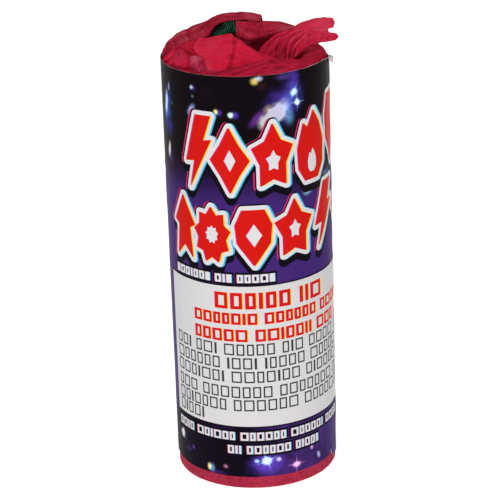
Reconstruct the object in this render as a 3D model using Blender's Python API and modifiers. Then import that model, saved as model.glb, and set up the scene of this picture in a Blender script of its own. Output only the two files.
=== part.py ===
"""Ground strobe: a paper tube in tissue and a printed label, with a fuse folded under the tissue top.

Frame: the origin is the middle of the underside, +Z runs up the tube, -Y is the front, +X is to its right.
Lengths are written in millimetres and turned into metres by MM.
"""

from math import cos, degrees, radians, sin

import bmesh
import bpy
from mathutils import Vector

MM = 0.001

# Driving dimensions, in millimetres
LABEL_RADIUS = 19.0
LABEL_BOTTOM = 3.1
RIM = 99.8
LABEL_SHEET = 0.25
TISSUE = 0.35
GAP = 0.3
TUBE_WALL = 2.2
TUBE_DROP = 2.2
TUBE_TOP = RIM - TUBE_DROP
DISC_SHEET = 1.5
CLAY_HEIGHT = 10.0
FILLING_HEIGHT = 74.5
STARTER_HEIGHT = 1.7
FUSE_RADIUS = 1.5
FUSE_WALL = 0.6
FUSE_CORE_RADIUS = 0.5
FUSE_DEPTH = 12.0
SEAL_RADIUS = 4.5
SEAL_HEIGHT = 1.5
SEAL_STEPS = 32
ROUND_STEPS = 64
LABEL_STEPS = 96
LABEL_SEAM_DEG = 75.0
LABEL_OVERLAP_DEG = 24.0
LAP_RAMP_DEG = 15.0

SLEEVE_CORNER = 1.0
SLEEVE_LIFT = 0.25

# Radii that follow from them
LABEL_INNER = LABEL_RADIUS - LABEL_SHEET
SLEEVE_OUTER = LABEL_INNER - GAP
SLEEVE_INNER = SLEEVE_OUTER - TISSUE
TUBE_OUTER = SLEEVE_INNER - GAP
TUBE_INNER = TUBE_OUTER - TUBE_WALL
FILL_RADIUS = TUBE_INNER - GAP
FUSE_HOLE = FUSE_RADIUS + GAP

# Levels that follow from them
BASE_TOP = 0.6
TUBE_BOTTOM = BASE_TOP + GAP + TISSUE
CLAY_BOTTOM = TUBE_BOTTOM + DISC_SHEET + GAP
FILLING_BOTTOM = CLAY_BOTTOM + CLAY_HEIGHT + GAP
FILLING_TOP = FILLING_BOTTOM + FILLING_HEIGHT
STARTER_BOTTOM = FILLING_TOP + GAP
STARTER_TOP = STARTER_BOTTOM + STARTER_HEIGHT
FUSE_DISC_BOTTOM = STARTER_TOP + GAP
FUSE_DISC_TOP = FUSE_DISC_BOTTOM + DISC_SHEET
SEAL_BOTTOM = FUSE_DISC_TOP + GAP

# The fuse leaves the seal upright, leans back and bends over in this half loop
LOOP_CENTRE = (-2.1, 0.3)
LOOP_RADIUS = 4.7
LOOP_DEPTH = 5.0
TIP_GAP = 0.7
FUSE_RISE = ((0.5, 1.3, -3.6), (1.6, 3.2, -1.5), (2.4, 4.5, 0.6))
FUSE_END = (-6.8, 4.6, -1.6)
END_DEPTH = 4.8

# The tissue turned in over the tube's rim: radius and height above the rim, from the outside in
RIM_FOLD = ((18.2, -1.3), (17.2, -0.8), (14.5, -1.0), (11.5, -1.6), (9.0, -2.4))

# Tissue sheets: rows from the fold at the rim to the free edge, of points as x, y and height above the rim
HOOD = (
    ((-17.8, 0.6, 0.0), (-16.2, 7.4, 0.0), (-12.0, 13.2, 0.0),
     (-5.8, 16.9, 0.0), (0.0, 17.8, 0.0), (4.6, 17.2, 0.0)),
    ((-17.4, 0.4, 1.6), (-15.3, 6.8, 3.2), (-11.2, 11.6, 4.0),
     (-5.5, 13.8, 5.4), (0.3, 14.2, 5.8), (4.6, 13.4, 5.0)),
    ((-16.2, 0.3, 2.6), (-13.6, 5.4, 4.0), (-9.7, 9.2, 5.0),
     (-5.3, 8.6, 7.4), (0.2, 7.4, 8.4), (4.1, 7.2, 7.8)),
    ((-14.6, 1.2, 2.6), (-11.8, 2.2, 3.4), (-8.7, 2.0, 4.9),
     (-5.3, 2.2, 7.2), (-0.5, 2.2, 7.9), (3.9, 3.6, 7.5)),
)
FRONT_FLAP = (
    ((-14.2, -8.5, 0.3), (-11.5, -11.8, 0.1), (-7.5, -13.6, 0.0), (-1.5, -13.2, 0.0), (6.2, -9.8, 0.0)),
    ((-15.0, -6.3, 2.0), (-11.3, -9.0, 2.6), (-7.2, -10.2, 3.0), (-2.0, -9.8, 2.6), (5.6, -8.0, 0.7)),
    ((-14.0, -3.6, 3.2), (-11.2, -5.2, 4.0), (-7.2, -5.8, 4.5), (-2.0, -5.6, 4.4), (4.2, -6.0, 1.4)),
    ((-12.6, -1.4, 3.4), (-10.5, -0.9, 4.2), (-7.4, -1.2, 4.5), (-2.4, -1.8, 5.0), (2.4, -3.9, 2.1)),
)
TAIL = (
    ((8.6, -7.0, 0.0), (7.2, -5.8, 0.3), (6.0, -4.6, 0.6), (4.8, -3.4, 0.8), (3.6, -2.2, 1.0)),
    ((11.4, -3.8, 0.2), (10.0, -2.6, 1.0), (8.8, -1.2, 1.9), (7.6, -0.2, 2.6), (6.4, 0.4, 3.2)),
    ((13.6, -1.2, 1.2), (13.0, -0.2, 2.4), (12.4, 0.8, 3.6), (11.8, 2.0, 4.4), (11.2, 3.0, 5.0)),
    ((16.6, -0.4, 1.8), (16.6, 0.2, 3.2), (16.4, 0.8, 4.8), (16.2, 1.4, 6.0), (16.0, 2.0, 7.1)),
    ((20.9, 0.0, 2.8), (20.9, 0.3, 4.0), (20.7, 0.6, 5.2), (20.6, 0.9, 6.4), (20.0, 1.2, 7.4)),
)
INNER_PANEL = (
    ((-1.8, 0.6, 0.2), (1.6, 0.6, 0.0), (5.0, 1.6, 0.0), (8.4, 3.2, 0.0), (11.8, 4.6, 0.0)),
    ((-1.7, 1.5, 3.8), (1.8, 1.8, 3.2), (5.2, 3.4, 2.8), (8.6, 5.0, 2.6), (11.6, 5.8, 2.2)),
    ((-1.6, 2.0, 6.8), (1.4, 3.0, 6.3), (4.2, 4.6, 5.8), (8.1, 6.8, 5.0), (11.1, 6.8, 4.1)),
)
BACK_FOLD = (
    ((6.0, 16.4, 0.0), (9.4, 15.0, 0.0), (12.6, 12.4, 0.0), (15.0, 9.2, 0.0)),
    ((5.6, 13.0, 3.4), (8.6, 12.2, 3.6), (11.8, 10.4, 3.0), (14.0, 8.4, 2.0)),
    ((5.4, 7.2, 5.4), (8.4, 7.8, 5.1), (11.3, 7.8, 4.3), (13.0, 6.8, 2.8)),
)

# Hinges of the moving tissue: a point on the axis, then the axis
HOOD_HINGE = ((-7.6, 16.3, 0.0), (-0.906, -0.423, 0.0))
FLAP_HINGE = ((-5.3, -14.7, 0.0), (0.94, -0.342, 0.0))
TAIL_HINGE = ((6.1, -4.6, 0.4), (0.721, -0.693, 0.0))
LOOP_CROWN = LOOP_CENTRE[1] + LOOP_RADIUS + FUSE_RADIUS
FUSE_HINGE = ((LOOP_CENTRE[0] - TIP_GAP / 2, LOOP_DEPTH, LOOP_CROWN), (0.0, 1.0, 0.0))


def clear_scene():
    for obj in list(bpy.data.objects):
        bpy.data.objects.remove(obj, do_unlink=True)


def new_collection(name):
    collection = bpy.data.collections.new(name)
    bpy.context.scene.collection.children.link(collection)
    return collection


def material(name, color, roughness):
    made = bpy.data.materials.new(name)
    made.use_nodes = True
    shader = made.node_tree.nodes["Principled BSDF"]
    shader.inputs["Base Color"].default_value = (*color, 1.0)
    shader.inputs["Roughness"].default_value = roughness
    return made


def above_rim(point):
    """A point given as x, y and height above the rim, in metres."""
    x, y, height = point
    return Vector((x, y, RIM + height)) * MM


def hinge_empty(name, hinge):
    """An empty on a moving piece's axis, which the piece hangs from."""
    empty = bpy.data.objects.new(name, None)
    empty.location = above_rim(hinge[0])
    empty.empty_display_size = 4 * MM
    PARTS.objects.link(empty)
    return empty


def place(obj, look, parent=None):
    obj.data.materials.clear()
    obj.data.materials.append(look)
    PARTS.objects.link(obj)
    if parent:
        obj.parent = parent
        obj.matrix_parent_inverse.identity()
        obj.location = obj.location - parent.location
    return obj


def turned(name, profile, look, closed=False, steps=ROUND_STEPS):
    """A solid of revolution. The profile is radius and height in millimetres, down its outer side."""
    shape = bmesh.new()
    points = [shape.verts.new((radius * MM, 0, height * MM)) for radius, height in profile]
    for first, second in zip(points, points[1:] + points[:1] if closed else points[1:]):
        shape.edges.new((first, second))
    mesh = bpy.data.meshes.new(name)
    shape.to_mesh(mesh)
    shape.free()
    obj = bpy.data.objects.new(name, mesh)
    spin = obj.modifiers.new("Turn", "SCREW")
    spin.steps = spin.render_steps = steps
    spin.use_merge_vertices = True
    spin.merge_threshold = 0.01 * MM
    return place(obj, look)


def drum(name, radius, bottom, top, look, hole=0.0):
    """A solid disc or plug, or a washer when it has a hole."""
    if hole:
        profile = ((radius, top), (radius, bottom), (hole, bottom), (hole, top))
        return turned(name, profile, look, closed=True)
    return turned(name, ((0, top), (radius, top), (radius, bottom), (0, bottom)), look)


def smooth_path(points, steps):
    """A Catmull-Rom curve through the points, with this many steps between two of them."""
    ends = [points[0] * 2 - points[1], *points, points[-1] * 2 - points[-2]]
    path = []
    for a, b, c, d in zip(ends, ends[1:], ends[2:], ends[3:]):
        slope, bend, turn = c - a, 2 * a - 5 * b + 4 * c - d, 3 * b - a - 3 * c + d
        for step in range(steps):
            t = step / steps
            path.append(0.5 * (2 * b + slope * t + bend * t**2 + turn * t**3))
    return [*path, points[-1]]


def rod(name, path, radius, caps):
    """A round rod along a path in metres, as a curve object."""
    curve = bpy.data.curves.new(name, "CURVE")
    curve.dimensions = "3D"
    curve.bevel_depth = radius * MM
    curve.bevel_resolution = 2
    curve.use_fill_caps = caps
    spline = curve.splines.new("POLY")
    spline.points.add(len(path) - 1)
    for point, place_at in zip(spline.points, path):
        point.co = (*place_at, 1.0)
    return bpy.data.objects.new(name, curve)


def hollow_rod(name, path):
    """The fuse's wound jacket: the outer surface of a rod, thickened inwards."""
    guide = rod(name + "_guide", path, FUSE_RADIUS, caps=False)
    PARTS.objects.link(guide)
    depsgraph = bpy.context.evaluated_depsgraph_get()
    mesh = bpy.data.meshes.new_from_object(guide.evaluated_get(depsgraph))
    bpy.data.objects.remove(guide, do_unlink=True)
    mesh.name = name
    mesh.shade_smooth()
    obj = bpy.data.objects.new(name, mesh)
    wall = obj.modifiers.new("Wall", "SOLIDIFY")
    wall.thickness = FUSE_WALL * MM
    wall.offset = -1.0
    return obj


def sheet(name, rows, look, parent=None):
    """A piece of folded tissue: a coarse cage of rows, thickened and rounded."""
    origin = parent.location if parent else Vector()
    shape = bmesh.new()
    grid = [[shape.verts.new(above_rim(point) - origin) for point in row] for row in rows]
    for near, far in zip(grid, grid[1:]):
        for i in range(len(near) - 1):
            shape.faces.new((near[i], near[i + 1], far[i + 1], far[i]))
    mesh = bpy.data.meshes.new(name)
    shape.to_mesh(mesh)
    shape.free()
    mesh.shade_smooth()
    obj = bpy.data.objects.new(name, mesh)
    if parent:
        obj.location = origin
    wall = obj.modifiers.new("Wall", "SOLIDIFY")
    wall.thickness = TISSUE * MM
    wall.offset = 0.0
    rounding = obj.modifiers.new("Rounding", "SUBSURF")
    rounding.levels = rounding.render_levels = 1
    return place(obj, look, parent)


def build_inside(card, clay, filling, starter, glue):
    """What the tube holds, from the bottom up, and the tube itself."""
    tube = [(TUBE_OUTER, TUBE_TOP), (TUBE_OUTER, TUBE_BOTTOM)]
    tube += [(TUBE_INNER, TUBE_BOTTOM), (TUBE_INNER, TUBE_TOP)]
    turned("paper_tube", tube, card, closed=True)
    drum("base_disc", FILL_RADIUS, TUBE_BOTTOM, TUBE_BOTTOM + DISC_SHEET, card)
    drum("clay_plug", FILL_RADIUS, CLAY_BOTTOM, CLAY_BOTTOM + CLAY_HEIGHT, clay)
    well = FILLING_TOP - FUSE_DEPTH
    block = (
        (FUSE_HOLE, FILLING_TOP),
        (FILL_RADIUS, FILLING_TOP),
        (FILL_RADIUS, FILLING_BOTTOM),
        (0, FILLING_BOTTOM),
    )
    turned("strobe_filling", ((0, well), (FUSE_HOLE, well), *block), filling)
    drum("starter_layer", FILL_RADIUS, STARTER_BOTTOM, STARTER_TOP, starter, hole=FUSE_HOLE)
    drum("fuse_disc", FILL_RADIUS, FUSE_DISC_BOTTOM, FUSE_DISC_TOP, card, hole=FUSE_HOLE)
    dome = [
        (FUSE_HOLE + (SEAL_RADIUS - FUSE_HOLE) * sin(turn), SEAL_BOTTOM + SEAL_HEIGHT * cos(turn))
        for turn in (radians(angle) for angle in range(0, 91, 18))
    ]
    turned("fuse_seal", (*dome, (FUSE_HOLE, SEAL_BOTTOM)), glue, closed=True, steps=SEAL_STEPS)


def fuse_paths():
    """The fuse's path up to the top of its loop, and the path of its tip from there."""

    def loop(angle, depth=LOOP_DEPTH):
        turn = radians(angle)
        across, up = LOOP_RADIUS * cos(turn), LOOP_RADIUS * sin(turn)
        return above_rim((LOOP_CENTRE[0] + across, depth, LOOP_CENTRE[1] + up))

    bottom = Vector((0, 0, FILLING_TOP - FUSE_DEPTH + GAP)) * MM
    exit_point = Vector((0, 0, SEAL_BOTTOM + SEAL_HEIGHT)) * MM
    rise = [above_rim(point) for point in FUSE_RISE]
    stem = smooth_path([bottom, exit_point * 0.5 + bottom * 0.5, exit_point], 2)
    lower = stem[:-1] + smooth_path([exit_point, *rise, loop(32), loop(60), loop(90)], 4)
    start = loop(90 + degrees(TIP_GAP / LOOP_RADIUS))
    tip = smooth_path([start, loop(120), loop(150), loop(180, END_DEPTH), above_rim(FUSE_END)], 4)
    return lower, tip


def build_fuse(jacket, core):
    lower, tip = fuse_paths()
    hinge = hinge_empty("fuse_unbend_axis", FUSE_HINGE)
    place(hollow_rod("fuse_jacket", lower), jacket)
    place(rod("fuse_core", lower, FUSE_CORE_RADIUS, caps=True), core)
    tip = [point - hinge.location for point in tip]
    for obj, look in (
        (hollow_rod("fuse_tip_jacket", tip), jacket),
        (rod("fuse_tip_core", tip, FUSE_CORE_RADIUS, caps=True), core),
    ):
        obj.location = hinge.location
        place(obj, look, hinge)


def sleeve_corner(radius):
    """Where the tissue turns under the tube: a quarter round, from the side to the underside."""
    middle = SLEEVE_OUTER - SLEEVE_CORNER
    level = SLEEVE_CORNER + SLEEVE_LIFT
    turns = [radians(angle) for angle in range(0, 91, 30)]
    return [(middle + radius * cos(turn), level - radius * sin(turn)) for turn in turns]


def build_tissue(tissue):
    """The tissue wrap, as the lengths of it that stay put and the folds that open."""
    drum("tissue_base_fold", SLEEVE_OUTER - SLEEVE_CORNER - 2 * GAP, 0.0, BASE_TOP, tissue)
    outer = sleeve_corner(SLEEVE_CORNER)
    inner = reversed(sleeve_corner(SLEEVE_CORNER - TISSUE))
    top = TUBE_TOP + GAP
    sleeve = ((SLEEVE_OUTER, top), *outer, *inner, (SLEEVE_INNER, top))
    turned("tissue_sleeve", sleeve, tissue, closed=True)
    above = [(radius, RIM + height + TISSUE / 2) for radius, height in RIM_FOLD]
    below = [(radius, RIM + height - TISSUE / 2) for radius, height in RIM_FOLD]
    turned("tissue_rim_fold", (*reversed(above), *below), tissue, closed=True)
    sheet("tissue_inner_panel", INNER_PANEL, tissue)
    sheet("tissue_back_fold", BACK_FOLD, tissue)
    sheet("tissue_hood", HOOD, tissue, hinge_empty("hood_open_axis", HOOD_HINGE))
    sheet("tissue_front_flap", FRONT_FLAP, tissue, hinge_empty("flap_open_axis", FLAP_HINGE))
    sheet("tissue_tail", TAIL, tissue, hinge_empty("tail_lift_axis", TAIL_HINGE))


def build_label(paper):
    """One printed sheet wound once round the tube, its last stretch lapped over its first."""
    mid = (LABEL_RADIUS - LABEL_SHEET / 2) * MM
    lap_rise = (LABEL_SHEET + GAP / 2) * MM
    shape = bmesh.new()
    columns = []
    turn_steps = round(LABEL_STEPS * (1 + LABEL_OVERLAP_DEG / 360))
    for i in range(turn_steps + 1):
        angle = i * 360 / LABEL_STEPS
        lifted = min(max((angle - 360 + LAP_RAMP_DEG) / LAP_RAMP_DEG, 0.0), 1.0)
        radius = mid + lap_rise * lifted
        turn = radians(LABEL_SEAM_DEG + angle)
        x, y = radius * cos(turn), radius * sin(turn)
        columns.append([shape.verts.new((x, y, level * MM)) for level in (LABEL_BOTTOM, RIM)])
    for near, far in zip(columns, columns[1:]):
        shape.faces.new((near[0], far[0], far[1], near[1]))
    mesh = bpy.data.meshes.new("label")
    shape.to_mesh(mesh)
    shape.free()
    mesh.shade_smooth()
    obj = bpy.data.objects.new("label", mesh)
    wall = obj.modifiers.new("Wall", "SOLIDIFY")
    wall.thickness = LABEL_SHEET * MM
    wall.offset = 0.0
    place(obj, paper)


def main():
    card = material("card", (0.45, 0.31, 0.19), 0.9)
    tissue = material("tissue", (0.55, 0.02, 0.06), 0.85)
    build_inside(
        card,
        material("clay", (0.52, 0.46, 0.38), 0.9),
        material("filling", (0.42, 0.42, 0.40), 0.85),
        material("starter", (0.10, 0.10, 0.10), 0.9),
        material("glue", (0.62, 0.50, 0.30), 0.4),
    )
    jacket = material("fuse_thread", (0.02, 0.10, 0.05), 0.6)
    build_fuse(jacket, material("fuse_powder", (0.02, 0.02, 0.02), 0.9))
    build_tissue(tissue)
    build_label(material("label_paper", (0.10, 0.05, 0.22), 0.3))


clear_scene()
PARTS = new_collection("ground_strobe")
main()
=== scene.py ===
from math import atan2, ceil, cos, degrees, hypot, pi, radians, sin, sqrt

import bpy
import numpy as np
from mathutils import Matrix, Vector, noise
from mathutils.geometry import delaunay_2d_cdt


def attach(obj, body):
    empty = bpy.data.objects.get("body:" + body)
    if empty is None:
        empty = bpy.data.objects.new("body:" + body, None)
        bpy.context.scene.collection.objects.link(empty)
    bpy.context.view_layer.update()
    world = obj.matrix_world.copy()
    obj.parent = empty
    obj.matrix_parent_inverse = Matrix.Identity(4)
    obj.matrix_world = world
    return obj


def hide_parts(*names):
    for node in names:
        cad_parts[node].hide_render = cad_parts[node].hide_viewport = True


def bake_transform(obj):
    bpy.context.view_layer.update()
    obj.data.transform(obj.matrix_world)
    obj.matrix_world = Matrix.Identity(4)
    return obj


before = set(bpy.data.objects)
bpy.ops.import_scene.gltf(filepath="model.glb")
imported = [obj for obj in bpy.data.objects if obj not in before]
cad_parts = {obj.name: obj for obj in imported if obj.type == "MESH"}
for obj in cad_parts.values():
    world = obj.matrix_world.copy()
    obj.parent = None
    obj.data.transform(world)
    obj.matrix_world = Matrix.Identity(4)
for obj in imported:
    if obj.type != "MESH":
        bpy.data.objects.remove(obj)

# Lengths are written in millimetres and turned into metres by MM.
MM = 0.001
SCENE = bpy.context.scene
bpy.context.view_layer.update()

# ---------------------------------------------------------------- dimensions
LABEL_RADIUS = 19.0
LABEL_SHEET = 0.16
LABEL_BOTTOM = 3.1
RIM = 99.8
SEAM_DEG = 75.0
OVERLAP_DEG = 24.0
LAP_RAMP_DEG = 15.0
LAP_RISE = 0.4
FRONT_DEG = -90.0
INK_LIFT = 0.045
INK_SHEET = 0.03

CURL_START = 25.4
CURL_END = 30.4
CURL_SIZE = 0.46

WRAP_RADIUS = 18.45
WRAP_TOP = 97.6
TISSUE_SHEET = 0.12

FUSE_RADIUS = 1.5
FUSE_CORE_RADIUS = 0.5
FUSE_BOTTOM = 77.35
FUSE_EXIT = 93.75
LOOP_CENTRE = (-2.1, 0.3)
LOOP_RADIUS = 4.7
LOOP_DEPTH = 5.0
RIB_PITCH = 0.5
RIB_HEIGHT = 0.09

# Camera
CAMERA_TARGET = (-0.231, 0.0, 52.42)
CAMERA_DISTANCE = 517.5
CAMERA_ELEVATION = 20.593
CAMERA_ROLL = -1.922
CAMERA_LENS = 160.03
SENSOR = 36.0

# Tissue sheets: rows of points as x, y and height above the rim
HOOD = (
    ((-18.4, -3.4, -1.0), (-18.1, 3.6, -0.8), (-15.4, 9.0, -0.8), (-11.8, 13.4, -0.8), (-8.6, 15.6, -0.8),
     (-5.6, 16.9, -0.8), (-2.4, 17.6, -0.8), (1.6, 17.8, -0.8), (4.9, 17.2, -0.8)),
    ((-18.4, -3.0, 0.5), (-18.0, 3.4, 1.4), (-15.2, 8.4, 2.4), (-11.6, 12.2, 3.2), (-8.6, 13.8, 4.0),
     (-5.6, 14.5, 4.7), (-2.6, 14.6, 5.4), (1.4, 14.2, 5.6), (4.2, 13.4, 5.2)),
    ((-18.2, -2.4, 1.2), (-17.2, 3.0, 2.4), (-15.3, 5.4, 3.5), (-12.2, 8.4, 4.1), (-8.9, 9.6, 5.0),
     (-5.9, 8.6, 6.7), (-2.9, 7.4, 7.5), (1.6, 6.4, 7.5), (4.0, 5.2, 6.9)),
    ((-17.6, -2.6, 0.9), (-16.2, 1.8, 2.0), (-14.4, 3.8, 2.9), (-11.4, 6.4, 3.3), (-8.3, 7.6, 4.6),
     (-5.5, 6.8, 6.5), (-2.7, 5.8, 7.3), (1.4, 5.2, 7.3), (3.9, 4.6, 6.8)),
    ((-16.8, -2.8, 1.1), (-15.4, 0.2, 2.2), (-13.4, 2.0, 3.1), (-10.8, 3.8, 3.8), (-8.4, 4.8, 4.9),
     (-5.6, 4.6, 6.7), (-2.6, 4.2, 7.2), (1.2, 4.3, 7.1), (3.9, 4.2, 6.6)),
    ((-16.4, -4.2, 0.9), (-14.6, -2.2, 1.7), (-12.4, -0.8, 2.6), (-10.0, 0.8, 3.2), (-8.2, 1.9, 4.0),
     (-6.4, 2.4, 6.1), (-3.4, 2.7, 7.1), (0.6, 3.3, 7.0), (3.8, 4.0, 6.4)),
    ((-15.8, -3.8, 0.4), (-14.0, -1.6, 1.0), (-11.8, 0.2, 1.9), (-9.4, 1.8, 2.5), (-7.8, 3.0, 3.4),
     (-6.2, 3.6, 6.0), (-3.4, 3.9, 7.0), (0.8, 4.3, 6.9), (3.6, 4.8, 6.2)),
)
FRONT_FLAP = (
    ((-15.4, -8.4, -0.9), (-12.8, -11.8, -0.9), (-9.4, -14.2, -0.9), (-6.0, -15.2, -0.9), (-3.8, -15.0, -0.9),
     (0.6, -13.6, -0.9), (5.6, -11.0, -0.9), (9.0, -9.0, -0.9)),
    ((-15.2, -7.2, 1.0), (-12.4, -11.6, 0.4), (-9.2, -14.0, 0.2), (-5.9, -14.3, 0.0), (-4.2, -13.4, 0.2),
     (0.4, -11.6, 0.1), (5.4, -9.4, 0.4), (8.8, -8.0, -0.1)),
    ((-14.9, -6.6, 2.2), (-12.0, -9.2, 1.9), (-9.0, -10.6, 1.9), (-5.6, -10.7, 1.8), (-3.7, -9.8, 2.2),
     (0.5, -8.4, 1.4), (4.8, -7.6, 1.0), (8.0, -7.0, 0.1)),
    ((-13.9, -4.4, 3.0), (-11.4, -5.8, 3.3), (-8.6, -6.4, 3.5), (-5.4, -6.7, 3.5), (-3.1, -6.2, 3.9),
     (0.3, -5.6, 2.6), (3.6, -5.8, 1.6), (6.6, -5.8, 0.4)),
    ((-12.9, -1.8, 3.6), (-11.0, -0.9, 4.2), (-8.6, -1.3, 4.3), (-5.6, -2.1, 4.9), (-2.8, -2.6, 5.2),
     (-0.4, -3.2, 3.5), (2.4, -4.7, 2.1), (5.2, -5.2, 0.9)),
    ((-12.2, -0.8, 2.6), (-10.6, 0.0, 3.1), (-8.4, -0.2, 3.2), (-5.4, -1.0, 3.7), (-2.6, -1.5, 3.9),
     (-0.2, -2.3, 2.5), (2.4, -3.8, 1.2), (5.0, -4.4, 0.3)),
)
TAIL = (
    ((9.2, -7.2, -1.0), (8.2, -6.6, -0.8), (7.2, -6.0, -0.6), (6.2, -5.2, -0.4), (5.4, -4.6, 0.0),
     (4.2, -4.0, 0.5), (3.2, -3.2, 1.0)),
    ((10.4, -5.4, -0.5), (9.6, -4.8, 0.1), (8.8, -4.2, 0.6), (7.8, -3.4, 1.2), (6.8, -2.6, 1.7),
     (5.6, -2.0, 2.2), (4.6, -1.6, 2.5)),
    ((12.0, -3.2, 0.0), (11.4, -2.8, 1.1), (10.6, -2.2, 1.7), (9.8, -1.6, 2.6), (9.0, -0.8, 2.9),
     (7.8, -0.2, 3.6), (6.8, 0.2, 3.7)),
    ((13.5, -1.6, 1.2), (13.2, -1.2, 2.2), (12.6, -0.6, 2.6), (12.2, 0.2, 3.6), (11.6, 1.0, 3.9),
     (11.2, 1.8, 4.6), (10.8, 2.6, 4.6)),
    ((15.2, -0.6, 1.7), (15.2, -0.2, 2.8), (15.0, 0.2, 3.4), (14.8, 0.7, 4.4), (14.6, 1.2, 5.0),
     (14.2, 1.8, 5.8), (13.6, 2.6, 6.2)),
    ((18.0, 0.0, 2.0), (18.2, 0.2, 3.0), (18.2, 0.4, 3.8), (18.0, 0.7, 4.9), (17.8, 1.0, 5.8),
     (17.4, 1.4, 6.6), (16.8, 2.0, 7.2)),
    ((20.5, 0.2, 2.2), (21.3, 0.2, 3.0), (20.9, 0.4, 3.7), (19.9, 0.6, 4.3), (20.2, 0.8, 5.3),
     (20.6, 0.9, 6.3), (20.0, 1.2, 7.2)),
)
INNER_PANEL = (
    ((-1.7, 1.8, -1.4), (1.6, 2.2, -1.4), (5.0, 3.4, -1.4), (8.4, 5.0, -1.4), (11.8, 6.4, -1.4), (14.6, 7.0, -1.4)),
    ((-1.7, 1.6, 2.4), (1.4, 2.4, 2.0), (4.2, 3.2, 2.0), (7.4, 4.6, 2.2), (10.6, 6.0, 2.4), (13.2, 6.4, 1.8)),
    ((-1.7, 1.3, 3.4), (1.0, 1.2, 3.1), (3.4, 1.7, 3.3), (6.6, 3.2, 3.6), (10.2, 5.0, 4.0), (12.6, 5.6, 3.2)),
    ((-1.65, 2.2, 6.8), (1.2, 3.0, 6.5), (3.8, 4.6, 5.8), (8.1, 6.6, 4.9), (11.1, 6.6, 4.2), (13.2, 6.0, 3.5)),
    ((-1.2, 2.5, 6.5), (1.4, 3.5, 6.2), (4.2, 5.2, 5.5), (8.3, 7.2, 4.5), (11.3, 7.2, 3.8), (13.4, 6.4, 3.1)),
)
BACK_FOLD = (
    ((4.2, 17.4, -0.8), (8.6, 15.7, -0.8), (12.4, 12.9, -0.8), (15.4, 9.2, -0.8), (17.2, 5.2, -0.8)),
    ((4.4, 14.0, 3.2), (8.2, 12.8, 3.3), (11.8, 10.6, 2.6), (14.4, 8.2, 1.8), (16.2, 5.0, 1.0)),
    ((4.2, 7.8, 5.1), (8.2, 8.0, 4.6), (11.3, 8.0, 3.6), (13.4, 6.9, 2.6), (14.8, 4.8, 1.7)),
    ((4.2, 7.0, 4.6), (8.0, 7.6, 4.2), (11.0, 7.6, 3.4), (13.0, 6.6, 2.2), (14.2, 4.6, 1.0)),
)
FOLD_LEFT = (
    ((-16.0, -7.6, 0.2), (-15.0, -9.6, -0.2), (-13.6, -11.2, -0.3), (-12.2, -12.2, -0.2), (-11.4, -12.4, 0.4)),
    ((-16.2, -7.6, 1.4), (-15.0, -10.0, 1.2), (-13.4, -11.8, 0.9), (-12.0, -12.6, 0.8), (-11.2, -12.2, 1.1)),
    ((-15.4, -6.8, 2.6), (-14.4, -9.0, 2.5), (-13.0, -10.8, 2.2), (-11.8, -11.6, 1.9), (-11.0, -11.4, 1.8)),
    ((-14.2, -5.6, 3.1), (-13.6, -7.6, 3.1), (-12.6, -9.0, 2.9), (-11.6, -9.8, 2.6), (-10.8, -10.2, 2.2)),
)
FOLD_MIDDLE = (
    ((-11.6, -12.6, -0.6), (-10.8, -13.8, -0.7), (-10.0, -14.6, -0.7), (-9.0, -14.9, -0.6), (-8.2, -14.6, -0.6)),
    ((-12.0, -12.4, 0.9), (-11.0, -13.6, 0.6), (-10.0, -14.3, 0.5), (-9.0, -14.4, 0.4), (-8.2, -14.2, 0.3)),
    ((-12.2, -11.6, 1.8), (-11.3, -12.4, 1.8), (-10.4, -12.9, 1.7), (-9.4, -13.2, 1.4), (-8.6, -13.2, 1.0)),
    ((-12.0, -10.8, 2.4), (-11.4, -10.9, 2.7), (-10.6, -11.0, 2.8), (-9.8, -11.2, 2.5), (-9.2, -11.6, 1.9)),
)
SIDE_PLEATS = (
    ((-18.4, -2.4, -0.8), (-18.1, -4.4, -0.8), (-17.5, -6.2, -0.8), (-16.4, -7.8, -0.8), (-15.4, -9.6, -0.8),
     (-14.2, -11.2, -0.8)),
    ((-18.2, -2.6, 0.7), (-17.8, -4.4, 0.3), (-16.8, -5.8, 1.0), (-16.0, -7.2, 0.2), (-15.2, -8.6, 0.8),
     (-13.8, -10.4, 0.2)),
    ((-15.8, -1.6, 2.1), (-15.8, -3.2, 1.3), (-15.2, -4.4, 2.2), (-14.8, -5.8, 1.2), (-14.0, -7.0, 1.8),
     (-12.8, -8.6, 1.2)),
    ((-13.2, 0.0, 2.7), (-13.2, -1.6, 2.1), (-12.8, -2.4, 3.1), (-12.6, -3.8, 2.2), (-12.0, -4.8, 2.6),
     (-11.4, -6.0, 2.0)),
    ((-11.0, 1.4, 2.9), (-11.0, 0.4, 2.5), (-10.8, -0.6, 3.4), (-10.6, -1.6, 2.6), (-10.4, -2.6, 2.6),
     (-10.2, -3.6, 2.2)),
)
FRONT_ROOT = (
    ((-8.0, -17.0, -0.8), (-3.0, -18.1, -0.7), (3.0, -18.0, -0.7), (9.0, -16.1, -0.7), (14.0, -12.4, -0.8)),
    ((-7.4, -15.9, 0.0), (-2.6, -16.2, 0.6), (3.2, -14.8, 1.0), (8.6, -12.8, 0.9), (12.8, -9.8, 0.3)),
    ((-5.8, -14.9, 0.0), (-1.2, -13.6, 0.7), (4.4, -11.0, 1.5), (8.8, -8.9, 1.1), (12.0, -7.0, 0.1)),
    ((-5.6, -14.4, -0.8), (-0.8, -12.8, -0.4), (4.8, -10.0, 0.2), (9.0, -8.2, 0.1), (12.0, -6.4, -0.8)),
)

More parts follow.
